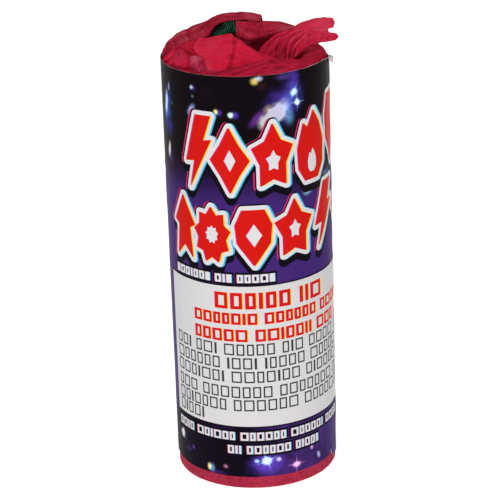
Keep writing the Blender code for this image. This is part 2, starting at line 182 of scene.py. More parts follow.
# Folds of the sheets, drawn on a plane that leans back through the rim's middle. Each one: the sheet's rise just left
# and just right of the line, how far that rise reaches, and the line as x and height on the plane
FOLD_LEAN = 15.5
FOLDS = {
    "tissue_flap_sheet": (
        (-0.05, 0.2, 2.4, ((-2.5, 5.2), (-2.6, 0.8), (-3.4, -1.4), (-4.2, -4.6))),
        (0.16, 0.0, 2.4, ((-1.2, 4.4), (-1.9, 0.8), (-3.1, -4.2))),
        (-0.15, 0.2, 2.0, ((-1.6, 3.2), (1.7, 0.5), (5.6, -1.9))),
        (-0.1, 0.0, 1.6, ((-1.7, 0.3), (1.3, -1.1), (4.5, -1.9))),
        (0.3, -0.35, 1.8, ((-10.0, 4.4), (-11.4, 1.6), (-10.0, -0.5), (-8.2, -4.0))),
        (0.08, -0.04, 1.4, ((-10.2, 2.2), (-6.7, 2.6), (-2.7, 2.9))),
        (-0.1, -0.04, 2.2, ((-7.1, 1.9), (-6.4, -0.8), (-7.4, -3.5))),
        (-0.3, -0.6, 1.0, ((-15.6, 0.6), (-13.6, 1.8), (-12.0, 0.7), (-11.0, -0.9))),
        (-0.3, -0.6, 1.0, ((-12.0, -1.1), (-10.7, 0.1), (-9.0, -1.2), (-8.7, -3.9))),
    ),
    "tissue_side_pleats": (
        (0.22, -0.25, 1.0, ((-18.2, 0.5), (-15.5, 1.7), (-11.5, 3.3))),
        (0.22, -0.25, 1.0, ((-17.4, -0.9), (-14.5, 0.9), (-11.0, 2.2))),
        (0.16, -0.16, 1.0, ((-16.4, -2.0), (-14.6, -0.4), (-12.4, 0.9))),
    ),
    "tissue_flap_fold_left": (
        (0.06, -0.06, 1.0, ((-14.6, 0.9), (-13.8, -0.6), (-13.4, -2.9))),
        (-0.08, 0.1, 0.8, ((-12.6, 0.2), (-12.4, -1.2), (-13.0, -2.8))),
    ),
    "tissue_flap_fold_middle": ((-0.12, 0.12, 0.8, ((-10.4, -0.6), (-10.2, -2.0), (-9.9, -3.6))),),
    "tissue_hood_sheet": (
        (0.14, -0.16, 1.6, ((-17.6, 2.6), (-14.6, 4.4), (-12.0, 5.2), (-9.5, 6.5), (-7.3, 8.1), (-4.9, 8.7), (-1.3, 8.4),
                          (4.2, 7.2))),
        (0.02, -0.12, 1.6, ((-15.5, 2.2), (-12.4, 3.4), (-9.3, 4.7), (-7.7, 6.2), (-5.3, 7.5))),
        (0.1, -0.12, 1.2, ((-1.4, 9.6), (1.0, 8.1), (3.4, 7.7))),
        (-0.15, 0.15, 1.8, ((-13.4, 5.6), (-12.6, 3.6), (-12.2, 1.6))),
        (-0.2, 0.1, 1.4, ((-16.2, 3.4), (-15.2, 1.4), (-15.4, -0.4))),
    ),
    "tissue_panel_sheet": (
        (0.2, -0.5, 1.4, ((0.4, 2.1), (5.0, 2.8), (8.3, 4.1), (11.5, 5.5))),
        (-0.06, 0.06, 2.0, ((-1.4, 5.6), (2.5, 4.3), (5.6, 3.9))),
    ),
    "tissue_back_sheet": ((0.2, -0.2, 1.4, ((4.0, 6.0), (8.6, 5.6), (12.6, 4.4))),),
    "tissue_tail_sheet": (
        (0.3, -0.3, 1.2, ((13.6, 4.8), (11.2, 3.7), (9.7, 1.5), (9.2, -2.0))),
        (0.28, -0.28, 1.0, ((13.4, 3.5), (11.6, 2.0), (10.6, 0.2), (10.0, -2.1))),
        (0.3, -0.3, 0.8, ((13.6, 2.3), (12.0, 1.0), (11.0, -1.2))),
        (-0.22, 0.2, 1.4, ((10.6, 5.2), (8.0, 3.2), (6.8, 0.8), (6.6, -2.0))),
        (0.1, -0.2, 1.6, ((11.0, 4.2), (14.2, 4.8), (17.3, 4.4), (21.5, 4.6))),
        (0.06, -0.06, 1.2, ((11.4, 5.3), (14.6, 5.9), (17.7, 6.4), (21.0, 6.2))),
    ),
    "tissue_front_root": (
        (0.18, -0.12, 1.2, ((-6.5, -5.4), (-0.9, -3.9), (2.7, -2.6), (5.4, -1.7))),
        (0.1, -0.1, 1.0, ((-1.7, -5.3), (4.1, -3.1), (8.6, -2.7))),
        (-0.1, 0.08, 1.2, ((5.2, -1.4), (6.6, -3.0), (7.0, -4.8))),
    ),
}
# Painted shade and painted highlight on the sheets, on the same plane: x, height, reach, and how dark the painted shade
# is (or, below 0, how pale the painted highlight)
PAINTED_SHADING = {
    "tissue_flap_sheet": ((3.4, 0.8, 2.4, 0.3), (-13.0, 1.0, 2.6, 0.5), (-6.0, -1.0, 4.0, -0.12), (0.0, -1.4, 2.6, -0.08),
                          (-11.2, -1.2, 1.3, 0.8), (-2.1, 2.4, 0.9, 0.4), (-2.7, -0.8, 1.0, 0.5), (-3.0, -3.2, 1.3, 0.6),
                          (0.4, -2.6, 1.4, 0.45), (-8.0, 1.6, 1.8, -0.25), (-6.2, 2.6, 2.4, -0.1)),
    "tissue_flap_fold_left": ((-14.0, -0.4, 1.5, -0.35), (-11.4, -1.8, 1.0, 0.6), (-13.0, -3.4, 1.2, 0.8), (-12.2, 0.4, 0.9, 0.5)),
    "tissue_flap_fold_middle": ((-10.9, -0.8, 1.0, -0.8), (-9.0, -3.4, 1.2, 0.5), (-11.6, -3.0, 0.9, 0.6)),
    "tissue_tail_sheet": ((7.0, 0.0, 3.2, 0.5), (10.6, -1.8, 2.4, 0.6), (12.0, 5.2, 2.0, -0.2), (17.6, 6.2, 3.6, -0.6),
                          (12.0, 2.4, 2.4, -0.1), (19.6, 3.4, 1.8, 0.1)),
    "tissue_hood_sheet": ((-14.0, 3.2, 4.0, -0.15), (2.0, 7.4, 1.6, -0.5), (-6.2, 5.0, 1.6, 0.3), (-17.0, 0.6, 1.6, 0.5)),
    "tissue_panel_sheet": ((4.6, 1.4, 2.6, 0.9), (9.0, 5.2, 2.4, -0.35), (1.0, 2.4, 1.4, -0.2)),
    "tissue_side_pleats": ((-12.6, 0.9, 1.8, 0.75), (-16.4, 0.8, 1.0, -0.2), (-17.6, -1.2, 1.0, 0.5), (-15.2, 1.2, 0.8, 0.65)),
    "tissue_front_root": ((7.8, -1.4, 2.6, 0.3), (-6.0, -4.6, 2.4, 0.6), (-2.6, -4.0, 1.4, 0.5), (1.5, -3.6, 3.0, 0.1)),
    "tissue_lining": ((10.5, -1.6, 2.4, 0.5), (14.5, 1.0, 3.2, 0.25), (-17.0, -2.0, 3.0, 0.5), (-11.0, -4.4, 3.0, 0.4)),
}


# ---------------------------------------------------------------- materials
def srgb(red, green, blue):
    """A colour written as it is seen, 0 to 255, as the linear colour that Blender takes."""
    seen = np.array((red, green, blue)) / 255
    return (*np.where(seen <= 0.04045, seen / 12.92, ((seen + 0.055) / 1.055) ** 2.4).tolist(), 1.0)


class Look:
    """A material and the few calls that its node tree is made with."""

    def __init__(self, name, roughness=0.6, **sockets):
        self.material = bpy.data.materials.new(name)
        self.material.use_nodes = True
        self.tree = self.material.node_tree
        self.shader = self.tree.nodes["Principled BSDF"]
        self.shader.inputs["Roughness"].default_value = roughness
        for socket, value in sockets.items():
            self.shader.inputs[socket.replace("_", " ")].default_value = value
        self.coordinates = self.node("TexCoord").outputs["Object"]

    def node(self, kind, inputs=None, **settings):
        made = self.tree.nodes.new("ShaderNode" + kind)
        for key, value in settings.items():
            setattr(made, key, value)
        for socket, value in (inputs or {}).items():
            if isinstance(value, bpy.types.NodeSocket):
                self.tree.links.new(value, made.inputs[socket])
            else:
                made.inputs[socket].default_value = value
        return made

    def noise(self, scale, detail=3.0, rough=0.55, vector=None):
        return self.node("TexNoise", {"Vector": vector or self.coordinates, "Scale": scale, "Detail": detail,
                                      "Roughness": rough}).outputs["Fac"]

    def ranged(self, value, low, high, to_low=0.0, to_high=1.0, smooth=False):
        kind = "SMOOTHSTEP" if smooth else "LINEAR"
        return self.node("MapRange", {"Value": value, "From Min": low, "From Max": high, "To Min": to_low,
                                      "To Max": to_high}, interpolation_type=kind).outputs["Result"]

    def mix(self, factor, first, second, mode="MIX"):
        made = self.node("Mix", data_type="RGBA", blend_type=mode)
        for index, value in ((0, factor), (6, first), (7, second)):
            if isinstance(value, bpy.types.NodeSocket):
                self.tree.links.new(value, made.inputs[index])
            else:
                made.inputs[index].default_value = value
        return made.outputs[2]

    def maths(self, operation, first, second=0.0):
        return self.node("Math", {0: first, 1: second}, operation=operation).outputs[0]

    def stretched(self, scale, rotation=(0, 0, 0)):
        return self.node("Mapping", {"Vector": self.coordinates, "Scale": scale, "Rotation": rotation}).outputs[0]

    def color(self, socket):
        self.tree.links.new(socket, self.shader.inputs["Base Color"])
        return self

    def rough(self, socket):
        self.tree.links.new(socket, self.shader.inputs["Roughness"])
        return self

    def bump(self, height, distance, strength=1.0):
        made = self.node("Bump", {"Height": height, "Distance": distance * MM, "Strength": strength})
        self.tree.links.new(made.outputs["Normal"], self.shader.inputs["Normal"])
        return self


def tissue_look(name, dark, light, pale_fibre_and_highlight, mottle=0.5):
    """Crepe-like tissue: broad shade changes, half-millimetre fibre mottling, pale fibres, a fine crinkle, and painted
    shade in fold valleys and dark spots and painted highlight on ridges and pale spots, from values stored on the
    sheet."""
    look = Look(name, roughness=0.8, Specular_IOR_Level=0.12)
    broad = look.ranged(look.noise(120, 2), 0.3, 0.7)
    grain = look.ranged(look.noise(1300, 3, 0.65), 0.36, 0.64)
    shade = look.maths("ADD", look.maths("MULTIPLY", broad, 1 - mottle), look.maths("MULTIPLY", grain, mottle))
    tone = look.mix(shade, dark, light)
    fibre = look.node("TexVoronoi", {"Vector": look.stretched((900, 1500, 2600), (0.3, 0.5, 0.9)), "Scale": 0.8})
    tone = look.mix(look.ranged(fibre.outputs["Distance"], 0.04, 0.16, 0.35, 0.0), tone, pale_fibre_and_highlight)
    painted_fold_shading = look.node("Attribute", attribute_name="painted_fold_shading").outputs["Fac"]
    # painted shade: fold valleys and dark spots are mixed towards this near-black red
    painted_shade_colour = (dark[0] * 0.3, dark[1] * 0.25, dark[2] * 0.35, 1.0)
    tone = look.mix(look.ranged(painted_fold_shading, 0.0, 1.0, 0.0, 0.85), tone, painted_shade_colour)
    # painted highlight: ridges and pale spots are mixed towards the pale fibre colour
    look.color(look.mix(look.ranged(painted_fold_shading, 0.0, -1.0, 0.0, 0.35), tone, pale_fibre_and_highlight))
    look.bump(look.maths("ADD", look.noise(700, 3), grain), 0.05, 0.5)
    return look.material


def plain_look(name, dark, light, scale, roughness=0.7, depth=0.05, detail=4):
    """A surface of two close tones in a noise pattern, which also sets its fine relief."""
    look = Look(name, roughness=roughness)
    grain = look.ranged(look.noise(scale, detail), 0.3, 0.7)
    look.color(look.mix(grain, dark, light)).bump(grain, depth, 0.5)
    return look.material


def edge_look(name):
    """The label's cut edge: dull and rubbed, and torn to white fibres on its right."""
    look = Look(name, roughness=0.85)
    rubbed = look.mix(look.ranged(look.noise(500, 4), 0.3, 0.7), srgb(70, 60, 56), srgb(186, 174, 158))
    right = look.ranged(look.node("SeparateXYZ", {0: look.coordinates}).outputs["X"], 0.006, 0.015)
    torn = look.maths("MULTIPLY", right, look.ranged(look.noise(420, 4), 0.42, 0.55))
    look.color(look.mix(torn, rubbed, srgb(232, 228, 226))).bump(look.noise(900, 3), 0.05, 0.5)
    return look.material


def ink_look(name, tone, wear, strength=0.35, roughness=0.34):
    """Printed ink: one colour with a fine screen grain and scuffed specks of another."""
    look = Look(name, roughness=roughness, Specular_IOR_Level=0.015)
    grain = look.ranged(look.noise(2600, 2), 0.35, 0.65, 0.0, 0.25)
    soft = look.mix(grain, tone, tuple(min(1.0, part * 1.25) for part in tone[:3]) + (1.0,))
    scuff = look.ranged(look.noise(260, 6, 0.7), 0.64, 0.74, 0.0, strength)
    look.color(look.mix(scuff, soft, wear))
    look.bump(look.noise(1800, 2), 0.01, 0.3)
    return look.material


# ---------------------------------------------------------------- meshes
def mesh_object(name, points, faces, look):
    mesh = bpy.data.meshes.new(name)
    mesh.from_pydata((np.asarray(points) * MM).tolist(), [], faces)
    mesh.materials.append(look)
    mesh.shade_smooth()
    obj = bpy.data.objects.new(name, mesh)
    SCENE.collection.objects.link(obj)
    return obj


def grid_faces(rows, columns, closed=False):
    """The faces of a grid of points stored row by row. A closed grid joins each row's last point to its first."""
    return [
        (r * columns + c, r * columns + (c + 1) % columns, (r + 1) * columns + (c + 1) % columns, (r + 1) * columns + c)
        for r in range(rows - 1)
        for c in range(columns if closed else columns - 1)
    ]


def thicken(obj, thickness, offset=-1.0, rim_material=0, back_material=0):
    """Gives a sheet its thickness, as a mesh and not as a modifier."""
    wall = obj.modifiers.new("Wall", "SOLIDIFY")
    wall.thickness = thickness * MM
    wall.offset = offset
    wall.use_even_offset = False
    wall.material_offset = back_material
    wall.material_offset_rim = rim_material
    bpy.context.view_layer.update()
    solid = bpy.data.meshes.new_from_object(obj.evaluated_get(bpy.context.evaluated_depsgraph_get()))
    obj.modifiers.clear()
    obj.data = solid
    solid.set_sharp_from_angle(angle=radians(50))
    return obj


def refine(grid, steps, roundness):
    """More points along the first axis: straight between the given ones, bent towards a smooth curve by roundness."""
    ends = np.concatenate([2 * grid[:1] - grid[1:2], grid, 2 * grid[-1:] - grid[-2:-1]])
    a, b, c, d = (ends[i : i + len(grid) - 1][:, None] for i in range(4))
    t = (np.arange(steps) / steps).reshape(1, -1, *[1] * (grid.ndim - 1))
    curve = 0.5 * (2 * b + (c - a) * t + (2 * a - 5 * b + 4 * c - d) * t**2 + (3 * b - a - 3 * c + d) * t**3)
    points = (b + (c - b) * t) * (1 - roundness) + curve * roundness
    return np.concatenate([points.reshape(-1, *grid.shape[1:]), grid[-1:]])


def normals_of(grid):
    across = np.gradient(grid, axis=1)
    along = np.gradient(grid, axis=0)
    crossed = np.cross(across, along)
    return crossed / np.maximum(np.linalg.norm(crossed, axis=2, keepdims=True), 1e-9)


def facets(points, size, seed):
    """Crumple relief for points in an array: flat facets about this size, with straight sharp folds between them."""
    rng = np.random.default_rng(seed)
    low, high = points.min(0) - size, points.max(0) + size
    count = int(np.prod(np.maximum(high - low, size) / size)) + 8
    nearest = []
    for _ in range(2):
        centres = rng.uniform(low, high, (count, 3))
        gaps = [np.min(((part[:, None] - centres) ** 2).sum(2), axis=1) for part in np.array_split(points, 40)]
        nearest.append(np.concatenate(gaps))
    return (nearest[0] - nearest[1]) / size**2


def on_fold_plane(points):
    """x and height of points on the leaning plane that folds and painted shading are drawn on."""
    lean = radians(FOLD_LEAN)
    return np.stack([points[..., 0], points[..., 1] * sin(lean) + (points[..., 2] - RIM) * cos(lean)], axis=-1)


def fold_lift(seen, folds):
    """Rise of a sheet at each point, from the fold lines near it: straight slopes that meet in a sharp line."""
    lift = np.zeros(seen.shape[:-1])
    for left, right, reach, line in folds:
        nearest = np.full(lift.shape, np.inf)
        side = np.zeros(lift.shape)
        for start, end in zip(np.array(line[:-1]), np.array(line[1:])):
            along = end - start
            part = np.clip(((seen - start) @ along) / (along @ along), 0, 1)
            gap = seen - start - part[..., None] * along
            distance = np.hypot(gap[..., 0], gap[..., 1])
            turned = along[0] * (seen[..., 1] - start[1]) - along[1] * (seen[..., 0] - start[0])
            closer = distance < nearest
            nearest = np.where(closer, distance, nearest)
            side = np.where(closer, turned, side)
        lift += np.where(side > 0, left, right) * np.clip(1 - nearest / reach, 0, 1)
    return lift


def painted_shading_at(seen, name):
    """Painted shade (above 0) and painted highlight (below 0) at each point, from the soft spots of its sheet."""
    total = np.zeros(seen.shape[:-1])
    for x, height, reach, value in PAINTED_SHADING.get(name, ()):
        total += value * np.exp(-((seen[..., 0] - x) ** 2 + (seen[..., 1] - height) ** 2) / reach**2)
    return total


def smoothed(values, rounds):
    for _ in range(rounds):
        around = np.pad(values, 1, mode="edge")
        values = (values + around[:-2, 1:-1] + around[2:, 1:-1] + around[1:-1, :-2] + around[1:-1, 2:]) / 5
    return values


def store_painted_shading(obj, lift, shade, gain=5.0):
    """Stores painted shading for each point of the grid: painted shade above 0, in valleys of the relief and in dark
    spots, and painted highlight below 0, on ridges and in pale spots.
    """
    # painted shade in the valleys of the relief and painted highlight on its ridges, with the sheet's painted spots
    # added
    fold = gain * (smoothed(lift, 2) - lift) + 0.3 * gain * (smoothed(lift, 24) - lift)
    values = obj.data.attributes.new("painted_fold_shading", "FLOAT", "POINT")
    values.data.foreach_set("value", np.clip(fold + shade, -1, 1).astype(np.float32).ravel())


def tissue_sheet(name, rows, look, steps=9, roundness=0.5, relief=0.35, size=7.0, seed=0, shape=None):
    """A folded sheet through rows of points above the rim, crumpled, with a slightly ragged edge."""
    grid = np.array(rows, float)
    grid[..., 2] += RIM
    grid = refine(grid, steps, roundness)
    grid = refine(grid.transpose(1, 0, 2), steps, roundness).transpose(1, 0, 2)
    normals = normals_of(grid)
    if normals[..., 2].mean() < 0:
        normals = -normals
    seen = on_fold_plane(grid)
    flat = grid.reshape(-1, 3)
    lift = relief * facets(flat, size, seed) + 0.2 * relief * facets(flat, size * 0.4, seed + 1)
    lift = lift.reshape(grid.shape[:2]) + smoothed(fold_lift(seen, FOLDS.get(name, ())), 1)
    if shape is not None:
        grid, lift = shape(grid, lift)
    grid = grid + normals * lift[..., None]
    for edge in (grid[0], grid[-1], grid[:, 0], grid[:, -1]):
        edge += [0.14 * noise.noise_vector(Vector(point) / 1.1) for point in edge]
    count, width = grid.shape[:2]
    obj = mesh_object(name, grid.reshape(-1, 3), grid_faces(count, width), look)
    # painted shade and painted highlight stored on the sheet for its material
    store_painted_shading(obj, lift, painted_shading_at(seen, name))
    return thicken(obj, TISSUE_SHEET, 0.0)


def turned_sheet(name, profile, look, steps, seed, fold=3.0, thickness=TISSUE_SHEET):
    """A sheet wound round the axis. The profile is radius, height, and how strongly it is pleated and crumpled."""
    points = []
    for radius, height, ripple, _ in profile:
        for i in range(steps):
            turn = 2 * pi * i / steps
            around = Vector((cos(turn), sin(turn), 0))
            fine = noise.noise(around * 26 + Vector((seed, 0, height * 0.09)))
            broad = noise.noise(around * 7 + Vector((0, seed, height * 0.12)))
            push = ripple * (1.5 * abs(fine) + broad)
            points.append((around.x * (radius + push), around.y * (radius + push), height + 0.35 * push))
    points = np.array(points)
    crumple = np.repeat([row[3] for row in profile], steps)
    lift = crumple * facets(points, fold, seed)
    points[:, 2] += lift
    obj = mesh_object(name, points, grid_faces(len(profile), steps, closed=True), look)
    # painted shade and painted highlight stored on the sheet for its material
    store_painted_shading(obj, lift.reshape(-1, steps), painted_shading_at(on_fold_plane(points), name).reshape(-1, steps))
    return thicken(obj, thickness, -1.0)


# ---------------------------------------------------------------- label surface
def smooth_step(value, low, high):
    t = min(max((value - low) / (high - low), 0.0), 1.0)
    return t * t * (3 - 2 * t)


def label_angle(u):
    """Degrees round the tube from the seam, for a distance along the label from its front middle."""
    return FRONT_DEG + 360 - SEAM_DEG + degrees(u / LABEL_RADIUS)


U_START = -radians(FRONT_DEG + 360 - SEAM_DEG) * LABEL_RADIUS
U_END = U_START + radians(360 + OVERLAP_DEG) * LABEL_RADIUS


def label_point(u, v, lift=0.0):
    """The place on the label that is u round it from the front middle and v above the floor."""
    angle = label_angle(u)
    lap = LAP_RISE * smooth_step(angle, 360 - LAP_RAMP_DEG, 360)
    turn = radians(angle + SEAM_DEG)
    side = smooth_step(u, 20, 30) * (1 - smooth_step(u, 36, 46))
    at = Vector((cos(turn) * 5.5, sin(turn) * 5.5, v / 9))
    wrinkle = 0.04 * noise.noise(at * 0.7) + (0.012 + 0.24 * side) * noise.noise(at * Vector((1.4, 1.4, 0.9)))
    radius = LABEL_RADIUS + lap + wrinkle + lift
    return (radius * cos(turn), radius * sin(turn), v)


def label_top(u):
    """Where the label is cut off at the top: a little lower and nicked on its right."""
    dip = 1.5 * smooth_step(u, 22, 30) * (1 - smooth_step(u, 40, 52))
    nick = 0.5 * smooth_step(u, 23.2, 23.9) * (1 - smooth_step(u, 24.2, 25.0))
    return RIM - dip - nick + 0.1 * noise.noise(Vector((u / 5, 0.3, 0)))


def label_bottom(u):
    tear = 1.0 * smooth_step(u, 20.6, 21.8) * (1 - smooth_step(u, 22.2, 22.6))
    slip = 1.2 * smooth_step(u, 22.0, 24.0) * (1 - smooth_step(u, 32.0, 42.0))
    return LABEL_BOTTOM + tear - slip + 0.08 * noise.noise(Vector((u / 4, 7.3, 0)))


def build_label(look, paper):
    rows, columns = 90, 260
    points = []
    for r in range(rows + 1):
        for c in range(columns + 1):
            u = U_START + (U_END - U_START) * c / columns
            low, high = label_bottom(u), label_top(u)
            points.append(label_point(u, low + (high - low) * r / rows))
    obj = mesh_object("label_sheet", points, grid_faces(rows + 1, columns + 1), look)
    obj.data.materials.append(paper)
    return thicken(obj, LABEL_SHEET, -1.0, rim_material=1, back_material=1)


def build_curl(look):
    """A lip of the label's white paper, curled outwards over its edge at the right, and its end hanging down."""
    rolls = [pi * i / 8 for i in range(9)]
    path = [(1 - cos(roll), sin(roll)) for roll in rolls] + [(1.95, -1.2), (1.8, -2.6)]
    points = []
    for out, up in path:
        for i in range(15):
            part = i / 14
            u = CURL_START + (CURL_END - CURL_START) * part
            size = CURL_SIZE * (0.3 + 0.7 * sin(pi * part) ** 0.7)
            turn = radians(label_angle(u) + SEAM_DEG)
            radius = LABEL_RADIUS + 0.06 + size * out
            points.append((radius * cos(turn), radius * sin(turn), label_top(u) + 0.05 + size * up))
    curl = thicken(mesh_object("label_curl", points, grid_faces(len(path), 15), look), 0.1, 0.0)
    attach(curl, "wrapped_tube")


# ---------------------------------------------------------------- artwork
def star(points, inner, turn=0.0):
    """A star outline in a box from -1 to 1."""
    return [
        ((1, inner)[i % 2] * sin(turn + pi * i / points), (1, inner)[i % 2] * cos(turn + pi * i / points))
        for i in range(2 * points)
    ]


BOLT = [(-0.1, 1), (-1, -0.3), (-0.3, -0.26), (-0.7, -1), (1, 0.36), (0.42, 0.32), (1, 1)]
DIAMOND = [(0, 1), (1, 0), (0, -1), (-1, 0)]
GEM = [(-0.6, 1), (0.6, 1), (1, 0.45), (0.9, -0.2), (0, -1), (-0.9, -0.2), (-1, 0.45)]
FLAME = [(0.15, 1), (-0.3, 0.55), (-0.6, 0.7), (-1, 0), (-0.95, -0.6), (-0.5, -1), (0.45, -1), (0.95, -0.6), (1, 0.05),
         (0.65, 0.6)]
ARROWHEAD = [(0, 1), (1, 0.1), (0.55, -0.02), (0.75, -1), (0, -0.62), (-0.75, -1), (-0.55, -0.02), (-1, 0.1)]
STAR = star(5, 0.62)
SPARK = star(4, 0.66)
BURST = star(9, 0.76)


def fitted(shape, left, right, low, high):
    """The shape in the box from left to right and low to high."""
    u, v = (left + right) / 2, (low + high) / 2
    return [(u + x * (right - left) / 2, v + y * (high - low) / 2) for x, y in shape]


def area_of(points):
    return sum(a[0] * b[1] - b[0] * a[1] for a, b in zip(points, points[1:] + points[:1])) / 2


def grown(points, by):
    """The outline moved outwards, with rounded outer corners."""
    if area_of(points) < 0:
        points = points[::-1]
    out = []
    for before, at, after in zip(points[-1:] + points[:-1], points, points[1:] + points[:1]):
        first = Vector((at[0] - before[0], at[1] - before[1])).normalized()
        second = Vector((after[0] - at[0], after[1] - at[1])).normalized()
        start, end = atan2(-first.x, first.y), atan2(-second.x, second.y)
        turn = (end - start + pi) % (2 * pi) - pi
        if turn > 0:
            steps = max(1, ceil(turn / 0.45))
            out += [(at[0] + by * cos(start + turn * i / steps), at[1] + by * sin(start + turn * i / steps))
                    for i in range(steps + 1)]
        else:
            reach = by / max(cos(turn / 2), 0.3)
            out.append((at[0] + reach * cos(start + turn / 2), at[1] + reach * sin(start + turn / 2)))
    return out


def moved(points, right, up):
    return [(u + right, v + up) for u, v in points]


# A title mark's layers, from the lowest: ink, how far the outline grows, and its shift to the right and upwards
TITLE_LAYERS = (
    ("print_pink", 1.3, -0.4, 0.0),
    ("print_black", 1.3, 0.0, -1.45),
    ("print_black", 1.35, 0.0, 0.0),
    ("print_cyan", 1.0, 0.4, 0.0),
    ("print_white", 1.0, 0.0, 0.0),
    ("print_yellow", 0.0, 0.32, 0.0),
    ("print_magenta", 0.0, -0.26, 0.0),
    ("print_red", 0.0, 0.0, 0.0),
)


def title_marks(art, marks):
    """Bold marks: red with a white edge, a dark outline and shadow, and colour fringes as from shifted plates."""
    outlines = [fitted(shape, *box) for shape, *box in marks]
    for ink, growth, right, up in TITLE_LAYERS:
        art += [(ink, moved(grown(outline, growth) if growth else outline, right, up)) for outline in outlines]


def greeked_row(art, inks, seed, left, right, low, high, stroke):
    """A line of word-like groups of empty boxes and bars, which stand for small print and aren't letters.
    inks are the ground's, the mark's, and any others under the mark, each with its growth and shift."""
    ground, ink, *under = inks
    rng = np.random.default_rng(seed)
    tall = high - low
    marks, at, in_word = [], left, rng.integers(3, 8)
    while at < right - 0.3 * tall:
        width = tall * rng.choice((0.2, 0.58, 0.66, 0.74, 0.86), p=(0.14, 0.26, 0.28, 0.22, 0.1))
        end = min(at + max(width, stroke), right)
        marks.append((at, end))
        at = end + tall * 0.2
        in_word -= 1
        if in_word <= 0:
            at += tall * 0.45
            in_word = rng.integers(3, 8)
    for under_ink, growth, shift in under:
        for first, last in marks:
            art.append((under_ink, box_outline(first - growth + shift, last + growth + shift, low - growth, high + growth)))
    for first, last in marks:
        art.append((ink, box_outline(first, last, low, high)))
        if last - first > 2.6 * stroke:
            art.append((ground, box_outline(first + stroke, last - stroke, low + stroke, high - stroke)))


def box_outline(left, right, low, high):
    return [(left, low), (right, low), (right, high), (left, high)]


PANEL_GREY = ("print_panel", "print_grey")
PANEL_RED = ("print_panel", "print_red", ("print_yellow", 0.0, 0.24), ("print_magenta", 0.0, -0.18))
OUTLINED = ("print_black", "print_white", ("print_black", 0.5, 0.0), ("print_pink", 0.0, -0.16), ("print_cyan", 0.0, 0.16))
GREY_LEVELS = ((35.2, 36.0), (31.8, 35.4), (28.4, 35.8), (24.6, 35.6), (21.3, 35.0), (18.2, -10.8))


def artwork():
    """Every printed outline with its ink, in u and v on the label. A later one covers the ones before it."""
    art = []
    for left, right, low, high in ((-23.6, 37.0, 16.0, 50.7), (45.6, 61.4, 20.0, 84.0), (-54.0, -40.0, 20.0, 84.0)):
        art.append(("print_black", box_outline(left - 0.35, right + 0.35, low - 0.35, high + 0.35)))
        art.append(("print_panel", box_outline(left, right, low, high)))
    title_marks(art, (
        (BOLT, -15.2, -8.2, 73.4, 90.6), (SPARK, -8.6, 0.4, 72.8, 88.2), (STAR, 0.6, 10.8, 72.8, 88.8),
        (FLAME, 11.8, 20.6, 73.8, 89.8), (GEM, 22.0, 30.0, 75.0, 91.8),
        (ARROWHEAD, -20.4, -13.4, 56.2, 71.0), (BURST, -13.6, -4.4, 55.8, 69.4), (GEM, -3.4, 5.0, 55.6, 69.0),
        (STAR, 5.4, 15.8, 56.0, 70.6), (BOLT, 16.8, 24.8, 57.0, 72.0), (SPARK, 25.6, 34.0, 58.0, 71.4),
        (STAR, -38.0, -28.0, 66.0, 78.0), (BURST, 38.6, 44.2, 70.0, 77.0), (SPARK, -37.0, -31.0, 46.0, 56.0),
        (DIAMOND, 39.4, 43.8, 38.0, 46.0),
    ))
    for shape, *box in ((STAR, 3.9, 7.5, 77.4, 82.6), (DIAMOND, -1.0, 2.6, 60.2, 65.6), (DIAMOND, -5.4, -2.8, 78.0, 83.0),
                        (FLAME, 14.8, 17.6, 75.6, 81.0), (BURST, -10.6, -7.4, 60.6, 65.0), (STAR, 9.0, 12.2, 61.0, 65.6)):
        art += [("print_magenta", moved(fitted(shape, *box), -0.2, 0.0)), ("print_white", fitted(shape, *box))]
    greeked_row(art, OUTLINED, 3, -20.6, 5.4, 51.6, 53.6, 0.5)
    greeked_row(art, PANEL_RED, 5, -8.8, 19.0, 45.2, 49.2, 0.8)
    greeked_row(art, PANEL_RED, 7, -14.6, 35.0, 41.4, 44.2, 0.6)
    greeked_row(art, PANEL_RED, 9, -14.6, 35.0, 37.2, 40.2, 0.6)
    for i, (level, right) in enumerate(GREY_LEVELS):
        greeked_row(art, PANEL_GREY, 11 + i, -21.8, right, level - 1.4, level + 1.4, 0.36)
    greeked_row(art, OUTLINED, 21, -22.8, 26.4, 12.4, 14.5, 0.46)
    greeked_row(art, OUTLINED, 23, -7.0, 16.0, 9.0, 11.1, 0.46)
    for left, right, seed in ((46.6, 60.4, 30), (-53.0, -41.0, 60)):
        for i in range(15):
            level, inks = 80.6 - 4 * i, PANEL_GREY if i % 5 else PANEL_RED
            greeked_row(art, inks, seed + i, left, right, level - 1.1, level + 1.1, 0.3 if i % 5 else 0.5)
    return art


def build_print(looks):
    """The artwork as thin ink on the label: every region is cut out once, and the last ink on it takes it."""
    art = artwork()
    points, faces, edges = [], [], []
    for _, outline in art:
        start = len(points)
        points += outline if area_of(outline) > 0 else outline[::-1]
        faces.append(list(range(start, len(points))))
    for u in (*np.arange(-55.0, 18.5, 1.5), *np.arange(19.0, 47.0, 0.7), *np.arange(48.0, 62.5, 1.5)):
        edges.append((len(points), len(points) + 1))
        points += [(u, 5.0), (u, 96.0)]
    for v in np.arange(6.0, 96.0, 2.25):
        edges.append((len(points), len(points) + 1))
        points += [(-55.0, v), (62.0, v)]
    found = delaunay_2d_cdt([Vector(point) for point in points], edges, faces, 0, 1e-5, True)
    places, cells, owners = found[0], found[2], found[5]
    for name in looks:
        own = [cell for cell, owner in zip(cells, owners) if owner and art[max(owner)][0] == name]
        used = sorted({corner for cell in own for corner in cell})
        index = {corner: i for i, corner in enumerate(used)}
        surface = [label_point(places[i].x, places[i].y, INK_LIFT) for i in used]
        outward = [tuple(index[corner] for corner in cell) for cell in own]
        obj = mesh_object(name, surface, outward, looks[name])
        thicken(obj, INK_SHEET, -1.0)
        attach(obj, "wrapped_tube")


